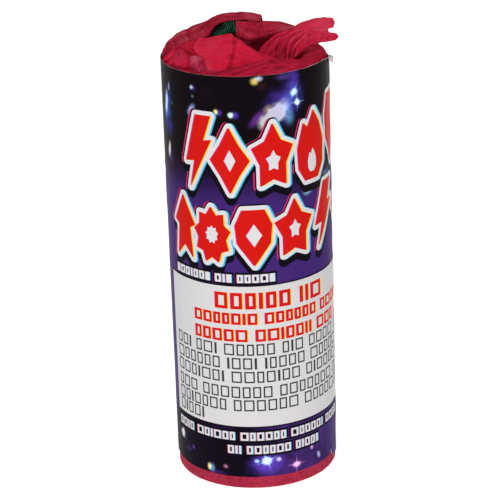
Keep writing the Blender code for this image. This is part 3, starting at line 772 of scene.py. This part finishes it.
# Soft glows on the label's dark ground: u, v, half width, half height, lean in degrees, colour, strength
GLOW_RAGGED = 3.6
STAR_RAGGED = 0.7
STAR_SIZE = 1.4
GLOWS = (
    (8.6, 92.8, 5.6, 4.2, 42, (78, 50, 168), 0.85),
    (10.6, 94.2, 2.8, 3.2, -20, (64, 104, 196), 0.7),
    (11.3, 97.4, 1.7, 3.6, 4, (72, 44, 150), 1.0),
    (6.0, 90.5, 3.7, 2.0, 36, (192, 192, 192), 1.9),
    (4.6, 92.2, 1.4, 0.9, 40, (222, 196, 120), 0.5),
    (2.4, 90.2, 2.8, 1.1, 48, (130, 60, 170), 0.8),
    (9.6, 90.4, 1.4, 2.8, 14, (96, 170, 215), 0.8),
    (8.8, 93.4, 1.6, 1.0, -20, (150, 160, 210), 0.6),
    (11.2, 95.0, 1.0, 0.9, 0, (200, 240, 240), 1.2),
    (11.2, 95.0, 0.24, 2.2, -30, (120, 170, 230), 0.9),
    (12.0, 92.6, 0.8, 0.8, 0, (215, 245, 235), 1.3),
    (12.0, 92.6, 2.0, 0.24, 0, (130, 170, 230), 0.9),
    (12.0, 92.6, 0.24, 2.0, 0, (130, 170, 230), 0.9),
    (8.8, 99.0, 2.4, 0.9, 0, (110, 90, 190), 0.6),
    (1.9, 98.6, 0.9, 0.9, 0, (214, 192, 104), 1.1),
    (2.9, 99.2, 1.0, 0.6, 0, (200, 205, 235), 1.0),
    (3.6, 97.4, 1.4, 1.3, 0, (70, 40, 50), 0.5),
    (-22.6, 89.5, 1.9, 5.4, -12, (56, 84, 190), 0.9),
    (-23.0, 91.0, 0.8, 3.2, -10, (190, 225, 240), 1.3),
    (-21.2, 85.6, 1.1, 2.2, -15, (52, 52, 170), 0.7),
    (-22.3, 80.2, 0.7, 2.0, -10, (230, 220, 220), 1.2),
    (-21.8, 79.0, 1.6, 2.6, 0, (88, 60, 150), 0.6),
    (-21.3, 95.2, 0.5, 1.1, -8, (150, 150, 205), 1.0),
    (-20.0, 91.6, 0.5, 0.5, 0, (50, 110, 100), 0.7),
    (-12.9, 96.6, 0.5, 0.5, 0, (190, 230, 220), 1.0),
    (-12.6, 96.5, 0.9, 0.9, 0, (80, 60, 160), 0.7),
    (-12.7, 94.6, 0.5, 0.5, 0, (70, 110, 130), 0.9),
    (-6.9, 91.6, 0.6, 0.65, 0, (235, 235, 110), 1.2),
    (-6.2, 91.5, 0.9, 0.9, 0, (100, 60, 180), 0.8),
    (-3.5, 91.0, 0.7, 0.65, 0, (215, 245, 220), 1.3),
    (-2.6, 91.0, 1.0, 0.9, 0, (90, 60, 200), 0.9),
    (-10.0, 91.2, 0.5, 0.5, 0, (44, 100, 96), 0.7),
    (-13.2, 91.4, 0.9, 1.7, -30, (150, 180, 240), 1.0),
    (-11.0, 84.6, 0.9, 0.9, 0, (70, 60, 190), 0.9),
    (-8.4, 83.6, 0.6, 0.6, 0, (90, 50, 130), 0.7),
    (14.8, 71.6, 1.8, 1.2, 20, (120, 200, 215), 1.0),
    (22.0, 72.6, 2.4, 2.2, 0, (170, 180, 230), 0.8),
    (2.2, 6.4, 4.4, 3.0, 0, (84, 56, 176), 1.1),
    (2.1, 7.1, 1.3, 1.1, 0, (190, 232, 236), 1.6),
    (2.1, 7.1, 0.24, 2.6, 20, (150, 190, 230), 1.0),
    (2.1, 7.1, 2.6, 0.24, 20, (150, 190, 230), 1.0),
    (-0.2, 7.2, 0.6, 0.5, 0, (170, 220, 235), 1.1),
    (4.9, 7.2, 0.7, 0.6, 0, (200, 200, 235), 1.1),
    (9.4, 5.1, 1.0, 0.8, 0, (236, 180, 206), 1.4),
    (9.4, 5.1, 2.2, 1.6, 0, (110, 50, 140), 0.7),
    (9.4, 5.1, 0.22, 2.4, 0, (190, 120, 190), 0.9),
    (9.4, 5.1, 2.4, 0.22, 0, (190, 120, 190), 0.9),
    (13.9, 8.1, 0.5, 0.7, 0, (230, 170, 220), 1.0),
    (16.2, 5.4, 0.6, 1.0, 20, (190, 190, 235), 1.0),
    (-22.0, 10.0, 1.0, 1.2, 0, (225, 225, 230), 1.4),
    (-21.0, 9.3, 1.3, 0.3, -34, (120, 110, 160), 0.7),
    (-19.2, 7.0, 1.3, 0.9, 0, (70, 40, 120), 0.7),
    (-17.3, 8.0, 0.8, 0.7, 0, (90, 50, 150), 0.9),
    (-12.2, 4.5, 0.6, 1.0, 0, (236, 220, 130), 1.3),
    (-11.4, 4.4, 0.9, 1.2, 0, (110, 160, 220), 1.0),
    (-7.8, 5.4, 0.7, 0.6, 0, (190, 120, 160), 0.9),
    (-9.8, 3.6, 2.4, 0.5, 0, (80, 50, 150), 0.7),
    (-34.0, 88.0, 7.0, 6.0, 30, (70, 60, 170), 0.9),
    (-36.0, 89.0, 2.0, 1.6, 30, (220, 225, 235), 1.1),
    (46.0, 92.0, 8.0, 4.0, -20, (90, 70, 190), 0.9),
    (49.0, 92.4, 2.2, 1.4, -20, (225, 225, 235), 1.1),
    (42.0, 30.0, 4.0, 12.0, 0, (60, 50, 150), 0.6),
    (-33.0, 30.0, 5.0, 12.0, 0, (60, 50, 150), 0.6),
)


def cosmos_look(name):
    """The label's printed night sky: black above, violet lower down, with soft glows and small stars."""
    look = Look(name, roughness=0.4, Specular_IOR_Level=0.015)
    height = look.node("SeparateXYZ", {0: look.coordinates}).outputs["Z"]
    cloud = look.noise(75, 5, 0.6)
    level = look.maths("ADD", height, look.maths("MULTIPLY", look.maths("SUBTRACT", cloud, 0.5), 0.012))
    purple = look.ranged(level, 0.080, 0.068, smooth=True)
    low = look.ranged(level, 0.020, 0.014, smooth=True)
    across = look.maths("ADD", look.node("SeparateXYZ", {0: look.coordinates}).outputs["X"],
                        look.maths("MULTIPLY", look.maths("SUBTRACT", look.noise(150, 5, 0.65), 0.5), 0.03))
    side = look.ranged(across, -0.004, 0.012, 0.03, 0.85, smooth=True)
    side = look.maths("MULTIPLY", side, look.ranged(look.noise(210, 5, 0.6), 0.35, 0.62, 0.55, 1.12))
    tone = look.mix(purple, srgb(16, 10, 15), srgb(66, 38, 112))
    band = look.mix(side, srgb(14, 9, 14), srgb(72, 46, 122))
    tone = look.mix(low, tone, band)
    haze = look.ranged(look.noise(42, 4, 0.6), 0.52, 0.75, 0.0, 0.3)
    tone = look.mix(haze, tone, srgb(66, 32, 78))
    texture = look.ranged(look.noise(700, 5, 0.65), 0.3, 0.7, 0.6, 1.1)
    ragged = look.node("TexNoise", {"Vector": look.coordinates, "Scale": 420.0, "Detail": 4.0, "Roughness": 0.65})
    shift = look.node("VectorMath", {0: ragged.outputs["Color"], 1: (0.5, 0.5, 0.5)}, operation="SUBTRACT")
    shifts = [look.node("VectorMath", {0: shift.outputs[0], "Scale": far * MM}, operation="SCALE")
              for far in (GLOW_RAGGED, STAR_RAGGED)]
    broad, fine = [look.node("VectorMath", {0: look.coordinates, 1: moved_by.outputs[0]}, operation="ADD").outputs[0]
                   for moved_by in shifts]
    for u, v, wide, tall, lean, colour, strength in GLOWS:
        place = label_point(u, v)
        turn = (0, -radians(lean), atan2(place[1], place[0]) + pi / 2)
        local = look.node("Mapping", {"Vector": broad if min(wide, tall) > STAR_SIZE else fine,
                                      "Location": [part * MM for part in place],
                                      "Rotation": turn, "Scale": (wide * MM, 20 * MM, tall * MM)},
                          vector_type="TEXTURE").outputs[0]
        reach = look.node("VectorMath", {0: local}, operation="LENGTH").outputs["Value"]
        fade = look.ranged(reach, 0.25, 1.5, strength, 0.0, smooth=True)
        fade = look.maths("MULTIPLY", look.maths("MULTIPLY", fade, fade), texture)
        tone = look.mix(fade, tone, srgb(*colour), "ADD")
    cells = look.node("TexVoronoi", {"Vector": look.coordinates, "Scale": 190.0})
    pick = look.node("SeparateXYZ", {0: cells.outputs["Color"]}).outputs["X"]
    dots = look.maths("MULTIPLY", look.ranged(cells.outputs["Distance"], 0.03, 0.075, 1.0, 0.0),
                      look.ranged(pick, 0.72, 0.95))
    tone = look.mix(dots, tone, srgb(170, 165, 215), "ADD")
    look.color(tone)
    look.bump(look.noise(260, 4), 0.05, 0.25)
    return look.material


# ---------------------------------------------------------------- fuse
def loop_point(angle, depth=LOOP_DEPTH):
    turn = radians(angle)
    return (LOOP_CENTRE[0] + LOOP_RADIUS * cos(turn), depth, RIM + LOOP_CENTRE[1] + LOOP_RADIUS * sin(turn))


def build_fuse(look, powder):
    """One thread-wound fuse, from its well in the filling up through the seal and over its loop to the cut end."""
    knots = [(0, 0, FUSE_BOTTOM), (0, 0, FUSE_BOTTOM + 8), (0, 0, FUSE_EXIT), (0.5, 1.3, RIM - 3.6), (1.6, 3.2, RIM - 1.5),
             (2.4, 4.5, RIM + 0.6), *(loop_point(a) for a in (32, 60, 90, 120, 150)), loop_point(180, 4.8),
             (-6.8, 4.6, RIM - 1.6)]
    path = refine(np.array(knots, float), 14, 1.0)
    length = np.concatenate([[0], np.cumsum(np.linalg.norm(np.diff(path, axis=0), axis=1))])
    even = np.arange(0, length[-1], RIB_PITCH / 6)
    path = np.stack([np.interp(even, length, path[:, i]) for i in range(3)], axis=1)
    sides = 28
    points, ribs = [], []
    side = Vector((0, 1, 0))
    for i, at in enumerate(path):
        ahead = Vector(path[min(i + 1, len(path) - 1)] - path[max(i - 1, 0)]).normalized()
        across = ahead.cross(side).normalized()
        side = across.cross(ahead).normalized()
        for k in range(sides):
            turn = 2 * pi * k / sides
            wound = 2 * pi * (even[i] / RIB_PITCH) + turn
            fray = 0.05 * noise.noise(Vector(at) * 1.3 + Vector((k, 0, 0)))
            radius = FUSE_RADIUS - RIB_HEIGHT + RIB_HEIGHT * cos(wound) + fray
            ribs.append(cos(wound))
            points.append(Vector(at) + (across * cos(turn) + side * sin(turn)) * radius)
    rings = len(path)
    faces = [tuple(reversed(face)) for face in grid_faces(rings, sides, closed=True)]
    for ring, inward in ((rings - 1, 1), (0, -1)):
        middle = Vector(path[ring])
        start = len(points)
        for share in (0.72, FUSE_CORE_RADIUS / FUSE_RADIUS):
            points += [middle + (points[ring * sides + k] - middle) * share for k in range(sides)]
        points.append(middle)
        bands = [range(ring * sides, (ring + 1) * sides), range(start, start + sides), range(start + sides, start + 2 * sides)]
        for outer, inner in zip(bands, bands[1:]):
            for k in range(sides):
                quad = (outer[k], outer[(k + 1) % sides], inner[(k + 1) % sides], inner[k])
                faces.append(quad if inward > 0 else tuple(reversed(quad)))
        for k in range(sides):
            wedge = (bands[2][k], bands[2][(k + 1) % sides], start + 2 * sides)
            faces.append(wedge if inward > 0 else tuple(reversed(wedge)))
    obj = mesh_object("fuse_wound", [tuple(point) for point in points], faces, look)
    obj.data.materials.append(powder)
    values = obj.data.attributes.new("rib", "FLOAT", "POINT").data
    values.foreach_set("value", np.array(ribs + [0.0] * (len(points) - len(ribs)), np.float32))
    for face in obj.data.polygons[-sides:]:
        face.material_index = 1
    return obj


def fuse_look(name):
    """Thread dyed green: its turns show the dye's green, and the gaps between them are painted near-black as painted
    shade.
    """
    look = Look(name, roughness=0.6, Specular_IOR_Level=0.25)
    rib = look.node("Attribute", attribute_name="rib").outputs["Fac"]
    uneven = look.maths("MULTIPLY", look.maths("SUBTRACT", look.noise(900, 4, 0.65), 0.5), 2.4)
    # painted shade: near-black in the grooves between the turns
    turns = look.ranged(look.maths("ADD", rib, uneven), -0.5, 1.1)
    dyed = look.mix(look.ranged(look.noise(300, 3), 0.42, 0.6), srgb(14, 60, 42), srgb(60, 166, 112))
    look.color(look.mix(turns, srgb(5, 9, 8), dyed)).bump(look.noise(1900, 3), 0.05, 0.5)
    return look.material


# ---------------------------------------------------------------- tissue pieces
def tail_shape(grid, lift):
    """Deep pleats where the tail is pinched, which open out towards its free end, and the notch torn out of that end."""
    rows, columns = grid.shape[:2]
    along = np.linspace(0, 1, rows)[:, None]
    across = np.linspace(0, 1, columns)[None, :]
    pleats = 0.4 * (1 - along) ** 1.6 * np.sin(2 * pi * 4.2 * across + 1.5 * along) * (0.3 + along * 1.6).clip(0, 1)
    notch = ((across > 0.38) & (across < 0.61)) * ((along - 0.9) / 0.1).clip(0, 1)
    grid = grid.copy()
    grid[..., 0] -= 1.0 * notch
    return grid, lift + pleats


def build_tissue(painted_lit_tissue, lining_look, painted_shade_tissue, pale, band):
    wrap_profile = [(WRAP_RADIUS, height, 0.0, 0.0) for height in (WRAP_TOP, 70, 40, 12, 6)]
    wrap_profile += [(WRAP_RADIUS, 4.2, 0.03, 0.0), (18.5, 3.4, 0.08, 0.0), (18.52, 2.6, 0.13, 0.0), (18.52, 1.8, 0.16, 0.0),
                     (18.54, 1.1, 0.17, 0.0), (18.54, 0.5, 0.14, 0.0), (18.5, 0.2, 0.1, 0.0), (18.2, 0.16, 0.08, 0.0)]
    wrap_profile += [(radius, 0.24, 0.2, 0.0) for radius in (16.6, 15, 12, 9, 6)] + [(3.2, 0.22, 0.14, 0), (1.0, 0.24, 0.05, 0), (0.1, 0.25, 0.0, 0)]
    wrap = turned_sheet("tissue_wrap", wrap_profile, band, 420, 2)
    lining_profile = [(18.45, RIM - 2.4, 0.0, 0.0), (18.6, RIM - 1.4, 0.02, 0.0), (18.5, RIM - 0.6, 0.05, 0.05),
                      (18.1, RIM - 0.15, 0.08, 0.2), (17.4, RIM + 0.05, 0.1, 0.35), (16.6, RIM + 0.05, 0.12, 0.5),
                      (15.8, RIM - 0.05, 0.12, 0.6), (15.0, RIM - 0.2, 0.14, 0.7), (14.0, RIM - 0.45, 0.16, 0.8),
                      (13.0, RIM - 0.75, 0.18, 0.8), (12.0, RIM - 1.1, 0.2, 0.8), (11.0, RIM - 1.5, 0.2, 0.8),
                      (9.8, RIM - 2.2, 0.2, 0.8), (8.6, RIM - 3.2, 0.2, 0.8), (7.0, RIM - 4.2, 0.15, 0.5),
                      (5.6, RIM - 5.0, 0.1, 0.3), (4.4, RIM - 5.4, 0.06, 0.1), (3.4, RIM - 5.6, 0.04, 0.0)]
    lining = turned_sheet("tissue_lining", lining_profile, lining_look, 300, 5, fold=6.0)
    # the hood, inner panel and back sheet take the painted-shade copy of the tissue, the flap and side pleats the
    # painted-lit copy, and the lining, left fold, front root and tail the darker lining copy, also painted shade
    hood = tissue_sheet("tissue_hood_sheet", HOOD, painted_shade_tissue, relief=0.4, seed=17)
    flap = tissue_sheet("tissue_flap_sheet", FRONT_FLAP, painted_lit_tissue, steps=12, roundness=0.2, relief=0.35, seed=41)
    left = tissue_sheet("tissue_flap_fold_left", FOLD_LEFT, lining_look, roundness=0.8, relief=0.1, size=4.0, seed=64)
    middle = tissue_sheet("tissue_flap_fold_middle", FOLD_MIDDLE, pale, roundness=0.8, relief=0.15, size=3.0, seed=82)
    pleats = tissue_sheet("tissue_side_pleats", SIDE_PLEATS, painted_lit_tissue, roundness=0.25, relief=0.2, size=4.0, seed=23)
    root = tissue_sheet("tissue_front_root", FRONT_ROOT, lining_look, roundness=0.5, relief=0.3, seed=52)
    tail = tissue_sheet("tissue_tail_sheet", TAIL, lining_look, steps=11, roundness=0.5, relief=0.3, seed=99, shape=tail_shape)
    panel = tissue_sheet("tissue_panel_sheet", INNER_PANEL, painted_shade_tissue, roundness=0.3, relief=0.3, seed=33)
    back = tissue_sheet("tissue_back_sheet", BACK_FOLD, painted_shade_tissue, roundness=0.5, relief=0.4, seed=75)

    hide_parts("tissue_sleeve", "tissue_base_fold")
    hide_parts("tissue_rim_fold")
    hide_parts("tissue_hood")
    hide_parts("tissue_front_flap")
    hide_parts("tissue_tail")
    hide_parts("tissue_inner_panel")
    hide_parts("tissue_back_fold")
    for piece in (wrap, lining, panel, back, pleats, root):
        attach(piece, "wrapped_tube")
    bend(hood)
    for piece in (flap, left, middle):
        bend(piece)
    bend(tail)
    return wrap, lining, hood, flap, left, middle, tail, panel, back, pleats, root


def bend(piece):
    """Bakes the piece's placement into its mesh."""
    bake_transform(piece)


# ---------------------------------------------------------------- assembly
def restyle(node, look):
    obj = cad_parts[node]
    obj.data.materials.clear()
    obj.data.materials.append(look)


def build_object():
    paper = edge_look("paper_edge")
    label = build_label(cosmos_look("label_night_sky"), paper)
    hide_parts("label")
    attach(label, "wrapped_tube")
    white, red, dark = srgb(214, 213, 214), srgb(206, 24, 18), srgb(18, 14, 20)
    looks = {
        "print_pink": ink_look("ink_pink", srgb(196, 40, 90), dark),
        "print_black": ink_look("ink_black", srgb(16, 12, 22), srgb(60, 40, 90)),
        "print_panel": ink_look("ink_panel", srgb(211, 209, 209), srgb(196, 194, 196), 0.5),
        "print_cyan": ink_look("ink_cyan", srgb(60, 178, 220), white),
        "print_white": ink_look("ink_white", white, srgb(190, 186, 196)),
        "print_yellow": ink_look("ink_yellow", srgb(246, 206, 40), white),
        "print_magenta": ink_look("ink_magenta", srgb(214, 40, 120), red),
        "print_grey": ink_look("ink_grey", srgb(58, 56, 62), srgb(120, 118, 124)),
        "print_red": ink_look("ink_red", red, srgb(196, 74, 30)),
    }
    build_print(looks)
    build_curl(plain_look("paper_white", srgb(196, 190, 188), srgb(226, 222, 222), 600, 0.8))

    # One red tissue drawn as copies lit and shaded differently: painted light on the lit copy for the front-facing flap
    # and side pleats, painted shade on the darker copies for the top-facing hood, the recessed inner panel and back
    # sheet, and the lining, left fold, front root and tail
    painted_lit_tissue = tissue_look("tissue_painted_lit", srgb(206, 12, 46), srgb(244, 32, 76), srgb(248, 104, 130), 0.5)
    lining_look = tissue_look("tissue_lining_red", srgb(158, 4, 38), srgb(220, 28, 70), srgb(228, 104, 130), 0.65)
    painted_shade_tissue = tissue_look("tissue_painted_shade", srgb(140, 6, 34), srgb(204, 36, 68), srgb(226, 130, 146), 0.7)
    pale = tissue_look("tissue_pale", srgb(160, 20, 56), srgb(206, 54, 88), srgb(226, 130, 150), 0.5)
    band = tissue_look("tissue_band", srgb(140, 22, 46), srgb(190, 50, 80), srgb(216, 112, 132), 0.55)
    pieces = build_tissue(painted_lit_tissue, lining_look, painted_shade_tissue, pale, band)

    fuse = build_fuse(fuse_look("fuse_thread_green"), plain_look("fuse_powder_black", srgb(10, 10, 10), srgb(40, 38, 36), 2400, 0.9))
    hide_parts("fuse_jacket", "fuse_core", "fuse_tip_jacket", "fuse_tip_core")
    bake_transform(fuse)

    card = plain_look("card_brown", srgb(150, 118, 82), srgb(186, 152, 112), 700, 0.85, 0.08)
    for node in ("paper_tube", "base_disc", "fuse_disc"):
        restyle(node, card)
    restyle("clay_plug", plain_look("clay_pressed", srgb(170, 158, 138), srgb(206, 194, 172), 500, 0.95, 0.15))
    restyle("strobe_filling", plain_look("filling_pressed", srgb(148, 148, 142), srgb(188, 188, 182), 1100, 0.9, 0.1))
    restyle("starter_layer", plain_look("starter_black", srgb(34, 33, 32), srgb(70, 68, 66), 1400, 0.95, 0.1))
    restyle("fuse_seal", plain_look("glue_amber", srgb(176, 140, 84), srgb(206, 176, 120), 300, 0.35, 0.03))
    return pieces


def declare(pieces):
    """Lists a flat size in millimetres for most tissue pieces and picks out those without one; nothing is recorded for
    any piece.
    """
    sizes = {
        "tissue_wrap": (118, 116), "tissue_lining": (115, 10), "tissue_hood_sheet": (31, 16),
        "tissue_flap_sheet": (27, 12), "tissue_tail_sheet": (11, 14), "tissue_panel_sheet": (16, 10),
        "tissue_back_sheet": (13, 11), "tissue_side_pleats": (10, 10), "tissue_front_root": (17, 10),
    }
    small = [piece for piece in pieces if piece.name not in sizes]
    for piece in pieces:
        if piece in small:
            continue


def area_light(name, at, size, power, tint=(1, 1, 1)):
    data = bpy.data.lights.new(name, "AREA")
    data.shape = "DISK"
    data.size = size
    data.energy = power
    data.color = tint
    obj = bpy.data.objects.new(name, data)
    SCENE.collection.objects.link(obj)
    obj.location = at
    aim = Vector((0, 0, 0.07)) - Vector(at)
    obj.rotation_euler = aim.to_track_quat("-Z", "Y").to_euler()


def build_studio():
    floor = mesh_object("studio_floor", [(-2500, -2500, 0), (2500, -2500, 0), (2500, 2500, 0), (-2500, 2500, 0)],
                        [(0, 1, 2, 3)], bpy.data.materials.new("studio_white"))
    look = floor.data.materials[0]
    look.use_nodes = True
    shader = look.node_tree.nodes["Principled BSDF"]
    shader.inputs["Base Color"].default_value = (0.93, 0.93, 0.93, 1)
    shader.inputs["Roughness"].default_value = 0.9
    shader.inputs["Emission Color"].default_value = (1, 1, 1, 1)
    shader.inputs["Emission Strength"].default_value = 0.72
    world = bpy.data.worlds.new("studio_world")
    SCENE.world = world
    world.use_nodes = True
    world.node_tree.nodes["Background"].inputs["Color"].default_value = (1, 1, 1, 1)
    world.node_tree.nodes["Background"].inputs["Strength"].default_value = 0.16
    area_light("key", (-0.35, -0.95, 0.42), 0.4, 3.75)
    area_light("fill", (0.55, -0.8, 0.35), 0.5, 1.45)
    area_light("top", (0.0, 0.1, 1.0), 0.8, 3.0)


def build_camera():
    data = bpy.data.cameras.new("camera")
    data.lens = CAMERA_LENS
    data.sensor_width = SENSOR
    obj = bpy.data.objects.new("camera", data)
    SCENE.collection.objects.link(obj)
    rise, roll = radians(CAMERA_ELEVATION), radians(CAMERA_ROLL)
    target = Vector(CAMERA_TARGET) * MM
    back = Vector((0, -cos(rise), sin(rise)))
    right = Vector((1, 0, 0))
    up = back.cross(right)
    across, upward = right * cos(roll) + up * sin(roll), up * cos(roll) - right * sin(roll)
    turn = Matrix((across, upward, back)).transposed().to_4x4()
    obj.matrix_world = Matrix.Translation(target + back * CAMERA_DISTANCE * MM) @ turn
    SCENE.camera = obj


SCENE.view_settings.view_transform = "Standard"
build_camera()
declare(build_object())
build_studio()
